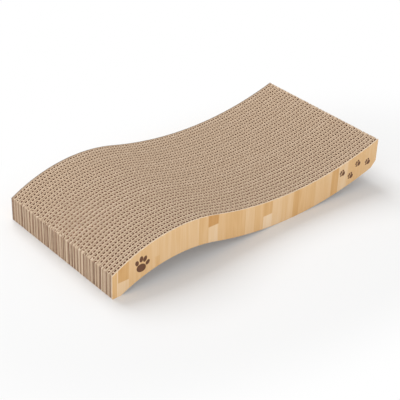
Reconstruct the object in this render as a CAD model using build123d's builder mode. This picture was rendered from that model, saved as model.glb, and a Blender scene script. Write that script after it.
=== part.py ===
from build123d import *
import os
from math import ceil, floor, sqrt

# A wave-shaped scratching pad: corrugated strips on edge, glued face to face, between two printed boards.
# X runs from the foot end to the raised end, Y from the front board to the back board, Z up from the floor.
# The origin is on the floor, under the middle of the pad.

# Outline of every board, in millimetres
length = 430.0  # along X
depth = 37.7  # straight down from the upper edge to the lower edge
wave_drop = 22.4  # from the crest of the arch down to the bottom of the dip
arch_radius = 197.0
dip_radius = 485.0
foot_length = 11.8  # flat that stands on the floor at the foot end
toe_length = 8.0  # bevel under the raised end, along X
toe_height = 6.0  # the same bevel, up the end

# Boards across the width
strip_count = 33
strip_thickness = 6.1
facing_thickness = 0.7
glue_line = 0.1  # film of glue between two boards

# Layers of a strip, from its front face to its back face
liner = 0.95  # flat sheet in front of the flutes
backing = 2.75  # sheets and fine flutes behind the large flutes

# Large flutes, which run up and down through a strip
flute_pitch = 8.15
flute_wall = 1.25  # between two channels, measured along X
flute_crown = 2.45  # a channel's width at its narrow side
end_wall = 1.6  # least length at each end where the cutting die has crushed the flutes shut
phase_shares = (0.05, 0.45, 0.8, 0.25)  # of a pitch, taken in turn from strip to strip

overrun = 2.0  # how far the channels' cutting prisms pass the upper and lower edges

# Places that follow from these sizes
strip_pitch = strip_thickness + glue_line
width = strip_count * strip_pitch + glue_line + 2 * facing_thickness
front_face = -width / 2
front_strip = front_face + facing_thickness + glue_line
back_face = width / 2
foot_end = -length / 2
raised_end = length / 2
foot_edge = foot_end + foot_length
toe_edge = raised_end - toe_length
crest_x = foot_edge + sqrt(arch_radius**2 - (arch_radius - wave_drop) ** 2)
both_radii = arch_radius + dip_radius
dip_x = crest_x + sqrt(both_radii**2 - (both_radii - wave_drop) ** 2)
arch_share = arch_radius / both_radii
bend_x = crest_x + (dip_x - crest_x) * arch_share
bend_z = wave_drop * (1 - arch_share)


def arch_z(x):
    """Height of the lower edge under the arch."""
    return wave_drop - arch_radius + sqrt(arch_radius**2 - (x - crest_x) ** 2)


def dip_z(x):
    """Height of the lower edge under the dip, which touches the floor at its lowest point."""
    return dip_radius - sqrt(dip_radius**2 - (x - dip_x) ** 2)


def wave_outline():
    """The outline that all boards share: the upper and lower edges are one curve, a depth apart."""
    foot_top = (foot_end, arch_z(foot_end) + depth)
    upper_bend = (bend_x, bend_z + depth)
    raised_top = (raised_end, dip_z(raised_end) + depth)
    toe_top = (raised_end, dip_z(raised_end) + toe_height)
    toe_bottom = (toe_edge, dip_z(toe_edge))
    lower_bend = (bend_x, bend_z)
    with BuildLine() as outline:
        ThreePointArc(foot_top, (crest_x, wave_drop + depth), upper_bend)
        ThreePointArc(upper_bend, (dip_x, depth), raised_top)
        Polyline(raised_top, toe_top, toe_bottom)
        ThreePointArc(toe_bottom, (dip_x, 0), lower_bend)
        ThreePointArc(lower_bend, (crest_x, wave_drop), (foot_edge, 0))
        Polyline((foot_edge, 0), (foot_end, 0), foot_top)
    make_face(outline.edges())


os.makedirs("parts", exist_ok=True)

# Printed board on the front
with BuildPart() as front_facing:
    with BuildSketch(Plane.XZ.offset(-front_face)):
        wave_outline()
    extrude(amount=-facing_thickness)
front_facing.part.label = "front_facing"
export_step(front_facing.part, "parts/front_facing.step", write_pcurves=False)

# Printed board on the back
with BuildPart() as back_facing:
    with BuildSketch(Plane.XZ.offset(-back_face)):
        wave_outline()
    extrude(amount=facing_thickness)
back_facing.part.label = "back_facing"
export_step(back_facing.part, "parts/back_facing.step", write_pcurves=False)

# Flute channels of the front strip, by turns wide at its liner and wide at its backing
flute_height = strip_thickness - liner - backing
flute_front = front_strip + liner
wide_half = (flute_pitch - flute_crown) / 2 - flute_wall
narrow_half = flute_crown / 2
flute_reach = length / 2 - end_wall - wide_half  # farthest middle of a channel from the pad's middle
prism_height = max(wave_drop, dip_z(raised_end)) + depth + 2 * overrun


def channel_places(first_x):
    """Middles of the channels a pitch apart, one of them at first_x, that stay clear of both ends."""
    lowest = ceil((-flute_reach - first_x) / flute_pitch)
    highest = floor((flute_reach - first_x) / flute_pitch)
    return [(first_x + step * flute_pitch, flute_front) for step in range(lowest, highest + 1)]


# One board for each phase of the flutes, cut where the front strip stands
boards = []
for phase_share in phase_shares:
    phase_x = phase_share * flute_pitch
    with BuildPart() as channels:
        with BuildSketch(Plane.XY.offset(-overrun)):
            with Locations(*channel_places(phase_x)):
                Polygon(
                    (-wide_half, 0),
                    (wide_half, 0),
                    (narrow_half, flute_height),
                    (-narrow_half, flute_height),
                )
            with Locations(*channel_places(phase_x + flute_pitch / 2)):
                Polygon(
                    (-narrow_half, 0),
                    (narrow_half, 0),
                    (wide_half, flute_height),
                    (-wide_half, flute_height),
                )
        extrude(amount=prism_height)
    with BuildPart() as board:
        with BuildSketch(Plane.XZ.offset(-front_strip)):
            wave_outline()
        extrude(amount=-strip_thickness)
        add(channels.part, mode=Mode.SUBTRACT)
    boards.append(board.part)

# Corrugated strips, from front to back
for index in range(strip_count):
    with BuildPart() as strip:
        add(boards[index % len(boards)].moved(Location((0, index * strip_pitch, 0))), clean=False)
    strip.part.label = f"strip_{index + 1:02d}"
    export_step(strip.part, f"parts/{strip.part.label}.step", write_pcurves=False)
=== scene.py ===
import math
import random

import bmesh
import bpy
from mathutils import Matrix, Vector


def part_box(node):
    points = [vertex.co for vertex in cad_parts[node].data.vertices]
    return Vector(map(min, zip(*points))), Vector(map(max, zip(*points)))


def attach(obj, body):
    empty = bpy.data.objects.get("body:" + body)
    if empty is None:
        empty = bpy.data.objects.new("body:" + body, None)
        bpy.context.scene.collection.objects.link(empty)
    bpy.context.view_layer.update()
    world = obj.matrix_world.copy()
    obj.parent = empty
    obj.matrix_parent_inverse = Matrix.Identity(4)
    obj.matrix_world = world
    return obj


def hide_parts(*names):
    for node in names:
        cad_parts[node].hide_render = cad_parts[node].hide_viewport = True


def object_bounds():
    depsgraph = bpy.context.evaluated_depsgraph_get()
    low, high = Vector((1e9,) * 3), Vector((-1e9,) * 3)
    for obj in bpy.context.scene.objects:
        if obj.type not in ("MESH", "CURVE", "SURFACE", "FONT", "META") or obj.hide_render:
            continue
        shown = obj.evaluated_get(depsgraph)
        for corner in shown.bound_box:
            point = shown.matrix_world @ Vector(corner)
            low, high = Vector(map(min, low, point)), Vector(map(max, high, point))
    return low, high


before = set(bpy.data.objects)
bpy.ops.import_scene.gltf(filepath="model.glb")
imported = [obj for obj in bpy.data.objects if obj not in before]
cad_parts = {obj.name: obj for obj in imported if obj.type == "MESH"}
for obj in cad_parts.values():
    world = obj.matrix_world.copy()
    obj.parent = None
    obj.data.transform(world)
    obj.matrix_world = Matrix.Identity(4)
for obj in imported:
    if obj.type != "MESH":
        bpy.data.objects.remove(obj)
cad_low, cad_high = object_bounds()

MM = 0.001  # metres in a millimetre
STRIPS = sorted(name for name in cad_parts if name.startswith("strip_"))
PAD_WIDTH = cad_high.y - cad_low.y
PAD_HEIGHT = cad_high.z - cad_low.z

# Layers of a corrugated strip, from its front face to its back face, in millimetres
LINER = 0.95
FLUTE_HEIGHT = 2.4
MIDDLE_LINER = 0.8
FINE_FLUTE_HEIGHT = 1.1
BACK_LINER = 0.85

# Fluted sheets, in millimetres
FLUTE_PITCH = 8.15
FLUTE_PAPER = 1.5  # in the walls, drawn thicker than the real sheet so that the openings stay apart
# A quarter of a flute, from the middle of its wall to the middle of its crown,
# as (share of the pitch, share of the swing, share of the paper)
FLUTE_SHARES = (
    (0.000, 0.00, 1.0),
    (0.035, 0.70, 1.0),
    (0.060, 0.93, 0.65),
    (0.100, 1.00, 0.30),
    (0.250, 1.00, 0.30),
)
FLUTE_STEP_SHARES = (0.17, -0.23)  # of a pitch, by which the flutes move on from strip to strip
FLUTE_STEP_TURN = 22  # strips from the front, after which the second share holds
FLUTE_CHANCE_SHARE = 0.2  # of a pitch, either way
FINE_PITCH = 3.3
FINE_PAPER = 0.4
FINE_SHARES = ((0.000, 0.0, 1.0), (0.080, 0.6, 1.0), (0.250, 1.0, 1.0))  # as for the large flutes

LINER_COLUMNS = 108  # flat facets along a liner

# Ends of a strip, in millimetres
END_LEAST = 0.02  # how far a strip's end lies inside the side boards' ends
END_MOST = 0.25
CRUSH_LEAST = 1.4  # length in which the flutes are crushed
CRUSH_MOST = 2.8
FOLD_LEAST = 0.8  # thickness of one crushed fold
FOLD_MOST = 1.7
FOLD_INSET = 0.5  # how far a fold's end lies inside the strip's end, at most
FOLD_FILL = 0.94  # share of its thickness that a fold fills
FOLD_CHOICES = 8  # places that a torn fold is drawn from, most of them past the last fold
END_DEPTH = 0.8  # faces nearer than this to an end are cut edges

# Chance in the papers' tones, where 1 is the whole way from dark to pale
STRIP_TONE = 0.12
FOLD_TONE_LEAST = -0.2
FOLD_TONE_MOST = 0.7
FLUTE_TONE = 0.1  # fluted sheets are darker than liners
SMOOTH_ANGLE = 40  # degrees between faces that still look like one curve

CUT_SPARE = 4.0  # how far a blank passes the outline that it is cut to, in millimetres
MERGE = 0.0005  # points nearer than this are one point, in millimetres
PAPER_GROUP = "paper_share"  # points of a fluted sheet, weighted by how thick its paper is there
FACING_SHARE = 0.5  # of a normal along an axis, past which a face counts as facing that way
FLAT_ANGLE = 0.2  # degrees between triangles that are one flat face

# Staves of the printed wood, as (where one starts, in millimetres from the left end of the printed face,
# and its tone, from dark 0 to pale 1)
STAVES = (
    (0.0, 0.46),
    (6.4, 0.86),
    (8.0, 0.78),
    (23.0, 0.55),
    (60.0, 0.62),
    (84.0, 0.56),
    (97.0, 0.64),
    (125.0, 0.44),
    (132.0, 0.50),
    (139.5, 0.72),
    (155.0, 0.52),
    (165.0, 0.45),
    (199.0, 0.66),
    (214.0, 0.48),
    (229.0, 0.86),
    (243.5, 0.72),
    (259.5, 0.60),
    (279.5, 0.34),
    (289.0, 0.48),
    (318.0, 0.58),
    (347.5, 0.32),
    (359.5, 0.74),
    (376.5, 0.50),
    (404.0, 0.56),
)
# Short blocks let into the staves, as (left, right, bottom, top, tone), in millimetres
BLOCKS = (
    (8.0, 23.0, 18.5, 45.0, 0.30),
    (60.0, 67.0, 10.0, 32.5, 0.48),
    (139.5, 155.0, 40.5, 65.0, 0.10),
    (229.0, 243.5, 20.5, 45.0, 0.34),
)

# Paw prints on the front, as (from the foot end, above the floor, size, degrees turned), in millimetres
FRONT_PAWS = (
    (41.5, 30.0, 21.0, -14.0),
    (366.8, 33.3, 10.0, 62.0),
    (382.8, 24.3, 10.0, 58.0),
    (395.0, 38.3, 10.0, 66.0),
    (413.8, 34.5, 10.0, 60.0),
)
# Paw print on the back, from the raised end
BACK_PAWS = ((222.0, 20.0, 17.0, 8.0),)
INK_FILM = 0.06  # how far the ink stands on the printed board, in millimetres
# Pad and toes of a paw print, as (across, up, wide, high, degrees turned), in shares of its size
PAW_SPOT_SHARES = (
    (0.0, -0.20, 0.64, 0.52, 0.0),
    (-0.37, 0.11, 0.24, 0.34, 24.0),
    (-0.13, 0.34, 0.25, 0.38, 8.0),
    (0.13, 0.34, 0.25, 0.38, -8.0),
    (0.37, 0.11, 0.24, 0.34, -24.0),
)
PAW_SPOT_SIDES = 32

# Floor, which fades to plain white outside an oval round the shadow, in metres
FLOOR_SIZE = 12.0
FLOOR_GLOW = 0.1  # light of its own, which lifts the shadow a little
OVAL_SHIFT = (0.0, 0.07, 0.0)
OVAL_SQUEEZE = (0.6, 1.0, 1.0)
FADE_START = 0.2
FADE_END = 0.31

# Softboxes, as (name, place and side in metres, power in watts), and the light from all round
LAMPS = (
    ("key_softbox", (0.05, 1.65, 2.0), 1.9, 46),
    ("front_softbox", (-0.25, -1.7, 0.25), 0.45, 9),
    ("left_softbox", (-1.7, -0.3, 0.15), 0.28, 5.5),
)
SKY_LIGHT = 0.6
SKY_SEEN = 1.0  # what the camera sees of it

# Camera, worked out from the photograph's edges
CAMERA_PLACE = (-810.0, -916.8, 762.5)  # in millimetres
CAMERA_AZIMUTH = 41.48  # degrees, as are the next two
CAMERA_ELEVATION = 31.98
CAMERA_ROLL = 2.35
FOCAL_PIXELS = 1123.9
PHOTO_PIXELS = 400
SENSOR = 36.0  # in millimetres
CAMERA_REACH = 20.0  # in metres

random.seed(7)


# Tools of the bench


def select_only(*pieces):
    """Leaves just these pieces selected, the first one active."""
    bpy.ops.object.select_all(action="DESELECT")
    for piece in pieces:
        piece.select_set(True)
    bpy.context.view_layer.objects.active = pieces[0]


def apply_modifier(piece, kind, **settings):
    """Adds a modifier with its settings and applies it."""
    select_only(piece)
    modifier = piece.modifiers.new(kind.title(), kind)
    for name, value in settings.items():
        setattr(modifier, name, value)
    bpy.ops.object.modifier_apply(modifier=modifier.name)


def settle(piece):
    """Puts a piece's place, turn and size into its mesh."""
    select_only(piece)
    bpy.ops.object.transform_apply(location=True, rotation=True, scale=True)


def merge_points(piece):
    """Joins points that lie on each other."""
    select_only(piece)
    bpy.ops.object.mode_set(mode="EDIT")
    bpy.ops.mesh.select_all(action="SELECT")
    bpy.ops.mesh.remove_doubles(threshold=MERGE * MM)
    bpy.ops.object.mode_set(mode="OBJECT")


def select_points(piece, wanted):
    """In edit mode, selects just the points for which wanted(point) is true."""
    points = bmesh.from_edit_mesh(piece.data)
    bpy.ops.mesh.select_all(action="DESELECT")
    for point in points.verts:
        point.select = wanted(point.co)
    points.select_flush_mode()
    bmesh.update_edit_mesh(piece.data)


def copy_of_node(node, name):
    """A piece of its own with a CAD node's mesh, its loose triangles merged."""
    piece = bpy.data.objects.new(name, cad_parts[node].data.copy())
    bpy.context.scene.collection.objects.link(piece)
    piece.data.materials.clear()
    merge_points(piece)
    return piece


# Materials


def linear(code):
    """Linear red, green, blue and alpha of an sRGB hex colour."""
    channels = [int(code[i : i + 2], 16) / 255 for i in (0, 2, 4)]
    return [c / 12.92 if c <= 0.04045 else ((c + 0.055) / 1.055) ** 2.4 for c in channels] + [1.0]


def add_node(tree, kind, inputs=(), **settings):
    """Adds a node, sets its properties, and sets or links its inputs."""
    made = tree.nodes.new(kind)
    for name, value in settings.items():
        setattr(made, name, value)
    for name, value in dict(inputs).items():
        if isinstance(value, bpy.types.NodeSocket):
            tree.links.new(value, made.inputs[name])
        else:
            made.inputs[name].default_value = value
    return made


def new_material(name):
    """An empty material's node tree and its output node."""
    material = bpy.data.materials.new(name)
    material.use_nodes = True
    tree = material.node_tree
    tree.nodes.clear()
    return material, tree, tree.nodes.new("ShaderNodeOutputMaterial")


def kraft_paper(name, dark, pale, rough):
    """Unbleached kraft paper, rolled from long wood fibres: matt brown and cloudy, with flecks."""
    material, tree, output = new_material(name)
    place = add_node(tree, "ShaderNodeTexCoord").outputs["Object"]
    cloud_size, fleck_size, fleck_height = 9.0, 0.9, 0.1
    darkest, palest = 0.95, 2.05  # sums of clouds, flecks and tone at the ends of the colours
    clouds = add_node(
        tree, "ShaderNodeTexNoise", {"Vector": place, "Scale": 1 / (cloud_size * MM), "Detail": 3.0}
    ).outputs["Fac"]
    flecks = add_node(
        tree, "ShaderNodeTexNoise", {"Vector": place, "Scale": 1 / (fleck_size * MM), "Detail": 2.0}
    ).outputs["Fac"]
    board = add_node(tree, "ShaderNodeAttribute", attribute_name="paper_tone").outputs["Fac"]
    both = add_node(tree, "ShaderNodeMath", {0: clouds, 1: flecks}, operation="ADD").outputs[0]
    tone = add_node(tree, "ShaderNodeMath", {0: both, 1: board}, operation="ADD").outputs[0]
    spread = add_node(
        tree, "ShaderNodeMapRange", {"Value": tone, "From Min": darkest, "From Max": palest}
    ).outputs["Result"]
    colour = add_node(
        tree, "ShaderNodeMix", {"Factor": spread, 6: linear(dark), 7: linear(pale)}, data_type="RGBA"
    ).outputs[2]
    bump = add_node(
        tree, "ShaderNodeBump", {"Height": flecks, "Strength": 0.25, "Distance": fleck_height * MM}
    ).outputs["Normal"]
    shader = add_node(
        tree,
        "ShaderNodeBsdfPrincipled",
        {"Base Color": colour, "Normal": bump, "Roughness": rough, "IOR": 1.45, "Specular IOR Level": 0.25},
    )
    tree.links.new(shader.outputs["BSDF"], output.inputs["Surface"])
    return material


def printed_wood():
    """Wood staves printed on smooth white-lined board: flat ink under varnish, with a satin shine."""
    material, tree, output = new_material("printed_wood_stave_board")
    place = add_node(tree, "ShaderNodeTexCoord").outputs["Object"]
    stave = add_node(tree, "ShaderNodeAttribute", attribute_name="stave_tone").outputs["Fac"]
    grain_width, grain_length, band_width = 0.9, 70.0, 7.0
    figure = 0.16  # how far grain and bands move a stave's tone, either way
    least, most = 0.6, 1.4  # sums of grain and bands that move it so far
    grain_place = add_node(
        tree,
        "ShaderNodeMapping",
        {"Vector": place, "Scale": (1 / (grain_width * MM), 1.0, 1 / (grain_length * MM))},
    ).outputs["Vector"]
    grain = add_node(
        tree,
        "ShaderNodeTexNoise",
        {"Vector": grain_place, "W": stave, "Scale": 1.0, "Detail": 3.0, "Roughness": 0.6},
        noise_dimensions="4D",
    ).outputs["Fac"]
    band_place = add_node(
        tree,
        "ShaderNodeMapping",
        {"Vector": place, "Scale": (1 / (band_width * MM), 1.0, 1 / (grain_length * MM))},
    ).outputs["Vector"]
    bands = add_node(
        tree,
        "ShaderNodeTexNoise",
        {"Vector": band_place, "Scale": 1.0, "Detail": 2.0, "Distortion": 0.7},
    ).outputs["Fac"]
    both = add_node(tree, "ShaderNodeMath", {0: grain, 1: bands}, operation="ADD").outputs[0]
    shift = add_node(
        tree,
        "ShaderNodeMapRange",
        {"Value": both, "From Min": least, "From Max": most, "To Min": -figure, "To Max": figure},
    ).outputs["Result"]
    tone = add_node(tree, "ShaderNodeMath", {0: stave, 1: shift}, operation="ADD").outputs[0]
    ramp = add_node(tree, "ShaderNodeValToRGB", {"Fac": tone})
    colours = ((0.0, "BF8A4B"), (0.3, "CDA067"), (0.5, "D7AF7C"), (0.75, "DEBD93"), (1.0, "E4CBAC"))
    stops = ramp.color_ramp.elements
    while len(stops) < len(colours):
        stops.new(0.5)
    for stop, (where, code) in zip(stops, colours):
        stop.position = where
        stop.color = linear(code)
    shader = add_node(
        tree,
        "ShaderNodeBsdfPrincipled",
        {"Base Color": ramp.outputs["Color"], "Roughness": 0.48, "IOR": 1.48, "Specular IOR Level": 0.35},
    )
    tree.links.new(shader.outputs["BSDF"], output.inputs["Surface"])
    return material


def brown_ink():
    """Dark brown printing ink, rolled on thin: matt, with the board's grain faintly through it."""
    material, tree, output = new_material("brown_printing_ink")
    place = add_node(tree, "ShaderNodeTexCoord").outputs["Object"]
    mottle_size = 0.7
    mottle = add_node(
        tree, "ShaderNodeTexNoise", {"Vector": place, "Scale": 1 / (mottle_size * MM), "Detail": 2.0}
    ).outputs["Fac"]
    colour = add_node(
        tree,
        "ShaderNodeMix",
        {"Factor": mottle, 6: linear("553522"), 7: linear("765038")},
        data_type="RGBA",
    ).outputs[2]
    shader = add_node(
        tree,
        "ShaderNodeBsdfPrincipled",
        {"Base Color": colour, "Roughness": 0.6, "IOR": 1.48, "Specular IOR Level": 0.3},
    )
    tree.links.new(shader.outputs["BSDF"], output.inputs["Surface"])
    return material


# Paper of the strips' upright faces, which show only down in the flutes. Kraft paper is as pale there as at
# its cut edge, so these dark, reddened tones are painted shade of the flutes' hollows.
KRAFT_SHEET_PAINTED_SHADE = kraft_paper("kraft_paper_sheet_painted_shade", "7E3F20", "A8663A", 0.85)
KRAFT_EDGE = kraft_paper("kraft_paper_cut_edge", "C9B095", "E5D0B8", 0.9)
PRINTED_WOOD = printed_wood()
BOARD_EDGE = kraft_paper("white_lined_board_cut_edge", "E8D4BA", "F4E6D4", 0.85)
# The back board's cut edge is drawn dark brown, which gives the dark line along the pad's back edge.
BACK_BOARD_EDGE = kraft_paper("back_board_dark_cut_edge", "472A1B", "623D29", 0.85)
INK = brown_ink()


# Corrugated strips

strip_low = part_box(STRIPS[0])[0]
strip_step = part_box(STRIPS[1])[0].y - strip_low.y
blank_low = -CUT_SPARE * MM
blank_height = PAD_HEIGHT + 2 * CUT_SPARE * MM


def upright_sheet(left, right, columns, middle_y):
    """A flat upright sheet of a blank's height, divided into columns."""
    bpy.ops.mesh.primitive_grid_add(x_subdivisions=columns, y_subdivisions=1, size=1)
    sheet = bpy.context.active_object
    sheet.scale = (right - left, blank_height, 1)
    sheet.rotation_euler = (math.pi / 2, 0, 0)
    sheet.location = ((left + right) / 2, middle_y, blank_low + blank_height / 2)
    settle(sheet)
    return sheet


def whole_flute(quarter):
    """All columns of one flute, as (share of the pitch, share of the swing, share of the paper)."""
    rise = list(quarter) + [(0.5 - at, swing, paper) for at, swing, paper in quarter[-2::-1]]
    return rise + [(0.5 + at, -swing, paper) for at, swing, paper in rise[1:]]


def pressed_flute(height, paper, pitch, quarter):
    """One flute of a fluted sheet, pressed into a wave across the front face's plane."""
    columns = whole_flute(quarter)
    swing = (height - quarter[-1][2] * paper) / 2 * MM
    flute = upright_sheet(0, pitch * MM, len(columns) - 1, 0)
    thick = flute.vertex_groups.new(name=PAPER_GROUP)
    for index, (_, _, share) in enumerate(columns):
        even_x = pitch * MM * index / (len(columns) - 1)
        near = [point.index for point in flute.data.vertices if abs(point.co.x - even_x) < MERGE * MM]
        thick.add(near, share, "REPLACE")
    bpy.ops.object.mode_set(mode="EDIT")
    for index, (along, across, _) in enumerate(columns):
        even_x = pitch * MM * index / (len(columns) - 1)
        select_points(flute, lambda place: abs(place.x - even_x) < MERGE * MM and abs(place.y) < MERGE * MM)
        bpy.ops.transform.translate(value=(along * pitch * MM - even_x, swing * across, 0))
    bpy.ops.object.mode_set(mode="OBJECT")
    return flute


def give_paper(sheet, paper, tone):
    """Makes a sheet as thick as its paper, half to each side, with a tone of its own."""
    shares = PAPER_GROUP if PAPER_GROUP in sheet.vertex_groups else ""
    apply_modifier(
        sheet, "SOLIDIFY", thickness=paper * MM, offset=0, use_even_offset=True, vertex_group=shares
    )
    sheet.vertex_groups.clear()
    return tint(sheet, tone)


def tint(piece, tone):
    """Marks all of a piece with a paper tone, from dark below 0 to pale above 0."""
    mark = piece.data.attributes.new("paper_tone", "FLOAT", "POINT")
    mark.data.foreach_set("value", [tone] * len(piece.data.vertices))
    return piece


def flat_paper(left, right, front, paper, tone):
    """A liner: a flat sheet whose front face lies at a depth in the front strip."""
    middle = strip_low.y + (front + paper / 2) * MM
    return give_paper(upright_sheet(left, right, LINER_COLUMNS, middle), paper, tone)


def fluted_paper(flute, phase_share, left, right, front, height, paper, pitch, tone):
    """A fluted sheet: a flute repeated along the strip, then trimmed at both ends."""
    select_only(flute)
    bpy.ops.object.duplicate()
    sheet = bpy.context.active_object
    start = cad_low.x - (phase_share % 1) * pitch * MM
    sheet.location = (start, strip_low.y + (front + height / 2) * MM, 0)
    settle(sheet)
    apply_modifier(
        sheet,
        "ARRAY",
        count=math.ceil((right - start) / (pitch * MM)),
        use_relative_offset=False,
        use_constant_offset=True,
        constant_offset_displace=(pitch * MM, 0, 0),
        use_merge_vertices=True,
        merge_threshold=MERGE * MM,
    )
    bpy.ops.object.mode_set(mode="EDIT")
    bpy.ops.mesh.select_all(action="SELECT")
    bpy.ops.mesh.bisect(plane_co=(left, 0, 0), plane_no=(1, 0, 0), clear_inner=True)
    bpy.ops.mesh.select_all(action="SELECT")
    bpy.ops.mesh.bisect(plane_co=(right, 0, 0), plane_no=(1, 0, 0), clear_outer=True)
    bpy.ops.object.mode_set(mode="OBJECT")
    return give_paper(sheet, paper, tone)


def crushed_folds(end, inner, front, height):
    """Folds into which the cutting die has crushed the flutes at one end of a strip."""
    inward = 1 if inner > end else -1
    folds = []
    depth = front
    gap_at = random.randrange(FOLD_CHOICES)  # now and then one fold has torn away and left a slit
    while depth < front + height - FOLD_LEAST:
        thick = min(random.uniform(FOLD_LEAST, FOLD_MOST), front + height - depth)
        if len(folds) != gap_at:
            outer = end + inward * random.uniform(0, FOLD_INSET) * MM
            deep = inner + random.uniform(-FOLD_INSET, FOLD_INSET) * MM
            bpy.ops.mesh.primitive_cube_add(size=1)
            fold = bpy.context.active_object
            fold.scale = (abs(deep - outer), thick * FOLD_FILL * MM, blank_height)
            middle_y = strip_low.y + (depth + thick / 2) * MM
            fold.location = ((outer + deep) / 2, middle_y, blank_low + blank_height / 2)
            settle(fold)
            folds.append(tint(fold, random.uniform(FOLD_TONE_LEAST, FOLD_TONE_MOST)))
        else:
            gap_at = -1
        depth += thick
    return folds


def trimming_block():
    """A block with the side board's outline, as wide as the whole pad, which the strips are trimmed to."""
    block = copy_of_node("front_facing", "trimming_block")
    board_low, board_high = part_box("front_facing")
    wide = PAD_WIDTH + 2 * CUT_SPARE * MM
    select_only(block)
    bpy.ops.object.mode_set(mode="EDIT")
    bpy.ops.mesh.select_all(action="SELECT")
    bpy.ops.transform.resize(
        value=(1, wide / (board_high.y - board_low.y), 1), center_override=(0, board_low.y, 0)
    )
    bpy.ops.transform.translate(value=(0, -CUT_SPARE * MM, 0))
    bpy.ops.object.mode_set(mode="OBJECT")
    return block


def trim_to_outline(board, block):
    """Draws a board's upper and lower edges straight up or down onto the outline."""
    upper = board.vertex_groups.new(name="upper_edge")
    lower = board.vertex_groups.new(name="lower_edge")
    middle = blank_low + blank_height / 2
    upper.add([point.index for point in board.data.vertices if point.co.z > middle], 1, "REPLACE")
    lower.add([point.index for point in board.data.vertices if point.co.z < middle], 1, "REPLACE")
    for group, downward in ((upper, True), (lower, False)):
        apply_modifier(
            board,
            "SHRINKWRAP",
            target=block,
            wrap_method="PROJECT",
            use_project_z=True,
            use_negative_direction=downward,
            use_positive_direction=not downward,
            vertex_group=group.name,
        )
    board.vertex_groups.clear()


def mark_cut_edges(board, left, right):
    """Gives a blank's sheets kraft paper, painted dark red-brown on its upright faces as the shade down in
    the flutes, with the paler cut edge at its rims and at both ends.
    """
    board.data.materials.append(KRAFT_SHEET_PAINTED_SHADE)
    board.data.materials.append(KRAFT_EDGE)
    for face in board.data.polygons:
        at_end = face.center.x < left + END_DEPTH * MM or face.center.x > right - END_DEPTH * MM
        upright = abs(face.normal.z) <= FACING_SHARE
        rim = not upright or (at_end and abs(face.normal.x) > FACING_SHARE)
        face.material_index = 1 if rim else 0


def flute_phase(index):
    """Share of a pitch by which a strip's flutes start early, as strips are cut from one long board."""
    early, late = FLUTE_STEP_SHARES
    chance = random.uniform(-FLUTE_CHANCE_SHARE, FLUTE_CHANCE_SHARE)
    return min(index, FLUTE_STEP_TURN) * early + max(index - FLUTE_STEP_TURN, 0) * late + chance


def corrugated_strip(index, node, flute, fine_flute, block):
    """One strip: flat sheets with large and fine flutes between them, trimmed and set in the stack."""
    flute_front = LINER
    middle_front = flute_front + FLUTE_HEIGHT
    fine_front = middle_front + MIDDLE_LINER
    back_front = fine_front + FINE_FLUTE_HEIGHT
    left = cad_low.x + random.uniform(END_LEAST, END_MOST) * MM
    right = cad_high.x - random.uniform(END_LEAST, END_MOST) * MM
    inner_left = left + random.uniform(CRUSH_LEAST, CRUSH_MOST) * MM
    inner_right = right - random.uniform(CRUSH_LEAST, CRUSH_MOST) * MM
    tone = random.uniform(-STRIP_TONE, STRIP_TONE)
    sheets = [
        flat_paper(left, right, 0, LINER, tone),
        fluted_paper(
            flute,
            flute_phase(index),
            inner_left,
            inner_right,
            flute_front,
            FLUTE_HEIGHT,
            FLUTE_PAPER,
            FLUTE_PITCH,
            tone - FLUTE_TONE,
        ),
        flat_paper(left, right, middle_front, MIDDLE_LINER, tone),
        fluted_paper(
            fine_flute,
            random.random(),
            left + FINE_PAPER * MM,
            right - FINE_PAPER * MM,
            fine_front,
            FINE_FLUTE_HEIGHT,
            FINE_PAPER,
            FINE_PITCH,
            tone - FLUTE_TONE,
        ),
        flat_paper(left, right, back_front, BACK_LINER, tone),
    ]
    sheets += crushed_folds(left, inner_left, flute_front, FLUTE_HEIGHT)
    sheets += crushed_folds(right, inner_right, flute_front, FLUTE_HEIGHT)
    select_only(*sheets)
    bpy.ops.object.join()
    strip = sheets[0]
    strip.name = f"corrugated_{node}"
    mark_cut_edges(strip, left, right)
    trim_to_outline(strip, block)
    select_only(strip)
    bpy.ops.object.shade_smooth_by_angle(angle=math.radians(SMOOTH_ANGLE))
    strip.location = (0, index * strip_step, 0)
    settle(strip)
    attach(strip, "root")
    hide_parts(node)


large_flute = pressed_flute(FLUTE_HEIGHT, FLUTE_PAPER, FLUTE_PITCH, FLUTE_SHARES)
fine_flute = pressed_flute(FINE_FLUTE_HEIGHT, FINE_PAPER, FINE_PITCH, FINE_SHARES)
block = trimming_block()
for index, node in enumerate(STRIPS):
    corrugated_strip(index, node, large_flute, fine_flute, block)
for spare in (large_flute, fine_flute, block):
    bpy.data.objects.remove(spare)


# Printed side boards


def tone_at(x, z):
    """Tone of the printed wood, in millimetres from the left end of the printed face and from the floor."""
    for left, right, bottom, top, tone in BLOCKS:
        if left < x < right and bottom < z < top:
            return tone
    return [tone for start, tone in STAVES if start <= max(x, 0)][-1]


def cut_across(place, normal):
    """In edit mode, draws a line across all faces of the active piece."""
    bpy.ops.mesh.select_all(action="SELECT")
    bpy.ops.mesh.bisect(plane_co=place, plane_no=normal)


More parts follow.
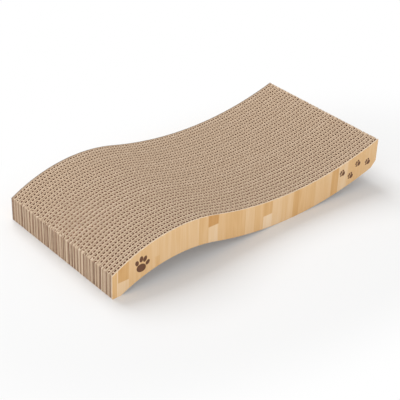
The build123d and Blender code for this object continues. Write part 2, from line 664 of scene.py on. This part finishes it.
def printed_board(node, name, mirrored):
    """A side board whose printed face is divided into staves and blocks, with a bare cut edge."""
    board = copy_of_node(node, name)
    low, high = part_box(node)
    board.data.materials.append(PRINTED_WOOD)
    board.data.materials.append(BACK_BOARD_EDGE if mirrored else BOARD_EDGE)
    select_only(board)
    bpy.ops.object.mode_set(mode="EDIT")
    bpy.ops.mesh.select_all(action="SELECT")
    bpy.ops.mesh.dissolve_limited(angle_limit=math.radians(FLAT_ANGLE))
    uprights = {start for start, _ in STAVES[1:]}
    levels = set()
    for left, right, bottom, top, _ in BLOCKS:
        uprights |= {left, right}
        levels |= {bottom, top}
    for start in sorted(uprights):
        at = high.x - start * MM if mirrored else low.x + start * MM
        cut_across((at, 0, 0), (1, 0, 0))
    for level in sorted(levels):
        cut_across((0, 0, level * MM), (0, 0, 1))
    bpy.ops.object.mode_set(mode="OBJECT")
    outward = 1 if mirrored else -1
    tones = []
    for face in board.data.polygons:
        face.material_index = 0 if face.normal.y * outward > FACING_SHARE else 1
        x = (high.x - face.center.x if mirrored else face.center.x - low.x) / MM
        tones.append(tone_at(x, face.center.z / MM))
    stave = board.data.attributes.new("stave_tone", "FLOAT", "FACE")
    stave.data.foreach_set("value", tones)
    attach(board, "root")
    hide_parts(node)


def paw_print(name, node, x, z, size, turn, mirrored):
    """A printed paw: one broad pad and four toes, as a film of ink on a side board."""
    low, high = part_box(node)
    outward = 1 if mirrored else -1
    surface = high.y if mirrored else low.y
    spots = []
    for across, up, wide, tall, lean in PAW_SPOT_SHARES:
        bpy.ops.mesh.primitive_circle_add(vertices=PAW_SPOT_SIDES, radius=0.5, fill_type="NGON")
        spot = bpy.context.active_object
        spot.scale = (wide * size * MM, tall * size * MM, 1)
        spot.rotation_euler = (0, 0, math.radians(lean))
        spot.location = (across * size * MM, up * size * MM, 0)
        settle(spot)
        spots.append(spot)
    select_only(*spots)
    bpy.ops.object.join()
    paw = spots[0]
    paw.name = name
    paw.rotation_euler = (0, 0, math.radians(turn))
    settle(paw)
    paw.rotation_euler = (math.pi / 2, 0, math.pi if mirrored else 0)
    along = high.x - x * MM if mirrored else low.x + x * MM
    paw.location = (along, surface + outward * INK_FILM * MM, z * MM)
    settle(paw)
    apply_modifier(paw, "SOLIDIFY", thickness=INK_FILM * MM, offset=-1)
    paw.data.materials.append(INK)
    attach(paw, "root")


printed_board("front_facing", "printed_front_board", False)
printed_board("back_facing", "printed_back_board", True)
for index, paw in enumerate(FRONT_PAWS):
    paw_print(f"front_paw_print_{index + 1}", "front_facing", *paw, False)
for index, paw in enumerate(BACK_PAWS):
    paw_print(f"back_paw_print_{index + 1}", "back_facing", *paw, True)


# Floor, light and camera


def white_floor():
    """A plain white studio floor, which shows as white and keeps the pad's shadow."""
    bpy.ops.mesh.primitive_plane_add(size=FLOOR_SIZE)
    floor = bpy.context.active_object
    floor.name = "studio_floor"
    material, tree, output = new_material("white_studio_floor")
    path = add_node(tree, "ShaderNodeLightPath")
    seen = add_node(
        tree,
        "ShaderNodeMath",
        {0: path.outputs["Is Camera Ray"], 1: path.outputs["Is Glossy Ray"]},
        operation="MAXIMUM",
    ).outputs[0]
    place = add_node(tree, "ShaderNodeTexCoord").outputs["Object"]
    oval = add_node(
        tree,
        "ShaderNodeMapping",
        {"Vector": place, "Location": OVAL_SHIFT, "Scale": OVAL_SQUEEZE},
    ).outputs["Vector"]
    away = add_node(tree, "ShaderNodeVectorMath", {0: oval}, operation="LENGTH").outputs["Value"]
    fade = add_node(
        tree,
        "ShaderNodeMapRange",
        {"Value": away, "From Min": FADE_START, "From Max": FADE_END},
        interpolation_type="SMOOTHSTEP",
    ).outputs["Result"]
    matt = add_node(tree, "ShaderNodeBsdfDiffuse", {"Color": linear("E5E5E5")}).outputs[0]
    pure = linear("FFFFFF")
    glow = add_node(tree, "ShaderNodeEmission", {"Color": pure, "Strength": FLOOR_GLOW}).outputs[0]
    white = add_node(tree, "ShaderNodeEmission", {"Color": pure, "Strength": 1.0}).outputs[0]
    lifted = add_node(tree, "ShaderNodeAddShader", {0: matt, 1: glow}).outputs[0]
    plain = add_node(tree, "ShaderNodeMixShader", {0: fade, 1: lifted, 2: white}).outputs[0]
    surface = add_node(tree, "ShaderNodeMixShader", {0: seen, 1: matt, 2: plain}).outputs[0]
    tree.links.new(surface, output.inputs["Surface"])
    floor.data.materials.append(material)


def soft_lamp(name, place, size, power):
    """A large square softbox at a place, turned towards the origin."""
    bpy.ops.object.light_add(type="AREA", location=place)
    lamp = bpy.context.active_object
    lamp.name = name
    lamp.data.shape = "SQUARE"
    lamp.data.size = size
    lamp.data.energy = power
    lamp.rotation_euler = (-Vector(place)).to_track_quat("-Z", "Y").to_euler()


def studio_sky():
    """Even white light from all round, which the camera sees as plain white."""
    world = bpy.data.worlds.new("white_studio")
    bpy.context.scene.world = world
    world.use_nodes = True
    tree = world.node_tree
    tree.nodes.clear()
    path = add_node(tree, "ShaderNodeLightPath")
    strength = add_node(
        tree,
        "ShaderNodeMapRange",
        {"Value": path.outputs["Is Camera Ray"], "To Min": SKY_LIGHT, "To Max": SKY_SEEN},
    ).outputs["Result"]
    sky = add_node(tree, "ShaderNodeBackground", {"Color": linear("FFFFFF"), "Strength": strength})
    out = add_node(tree, "ShaderNodeOutputWorld")
    tree.links.new(sky.outputs[0], out.inputs["Surface"])


def photo_camera():
    """The camera at the photograph's angle."""
    bpy.ops.object.camera_add(location=[c * MM for c in CAMERA_PLACE])
    camera = bpy.context.active_object
    azimuth, elevation, roll = (math.radians(a) for a in (CAMERA_AZIMUTH, CAMERA_ELEVATION, CAMERA_ROLL))
    forward = math.cos(elevation)
    ahead = Vector((math.sin(azimuth) * forward, math.cos(azimuth) * forward, -math.sin(elevation)))
    level = Vector((math.cos(azimuth), -math.sin(azimuth), 0))
    upward = level.cross(ahead)
    right = math.cos(roll) * level + math.sin(roll) * upward
    top = math.cos(roll) * upward - math.sin(roll) * level
    camera.rotation_euler = Matrix((right, top, -ahead)).transposed().to_euler()
    camera.data.sensor_width = SENSOR
    camera.data.lens = FOCAL_PIXELS / PHOTO_PIXELS * SENSOR
    camera.data.clip_end = CAMERA_REACH
    bpy.context.scene.camera = camera


white_floor()
for lamp in LAMPS:
    soft_lamp(*lamp)
studio_sky()
photo_camera()
bpy.context.scene.view_settings.view_transform = "Standard"
